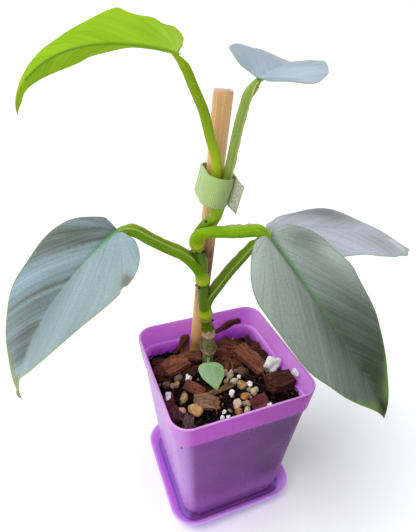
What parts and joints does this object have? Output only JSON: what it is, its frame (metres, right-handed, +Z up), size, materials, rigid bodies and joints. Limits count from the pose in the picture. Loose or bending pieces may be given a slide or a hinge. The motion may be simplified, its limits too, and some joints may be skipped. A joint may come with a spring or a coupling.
{
  "type": "philodendron hastatum in a square pot",
  "caption": "Young climbing foliage plant with silvery heart-shaped leaves, tied to a bamboo stake, in a square plastic pot of bark mix with a saucer",
  "frame": {"origin": "middle of the saucer's flat underside, where the object stands", "axes": "+Z up along the stake and stem, +X to the right and -Y towards the pot's front face"},
  "size_m": [0.21, 0.1092, 0.2263],
  "materials": {
    "purple_plastic": "semi-gloss purple plastic",
    "bark_mix": "loose matt husk chips, pebbles and fibres",
    "bamboo": "smooth bare bamboo",
    "green_tape": "woven hook and loop tape",
    "green_stem": "smooth fresh green stem",
    "silver_leaf": "silvery satin leaf",
    "new_leaf": "soft lime green young leaf",
    "small_leaf": "pale green satin leaf"
  },
  "bodies": {
    "root": {"saucer": "purple_plastic", "pot": "purple_plastic", "soil": "bark_mix", "stake": "bamboo", "tie": "green_tape", "stem": "green_stem", "leaf_left": "silver_leaf", "leaf_right": "silver_leaf", "leaf_back": "silver_leaf", "leaf_new": "new_leaf", "leaf_top": "silver_leaf", "leaf_basal": "small_leaf"}
  },
  "joints": []
}
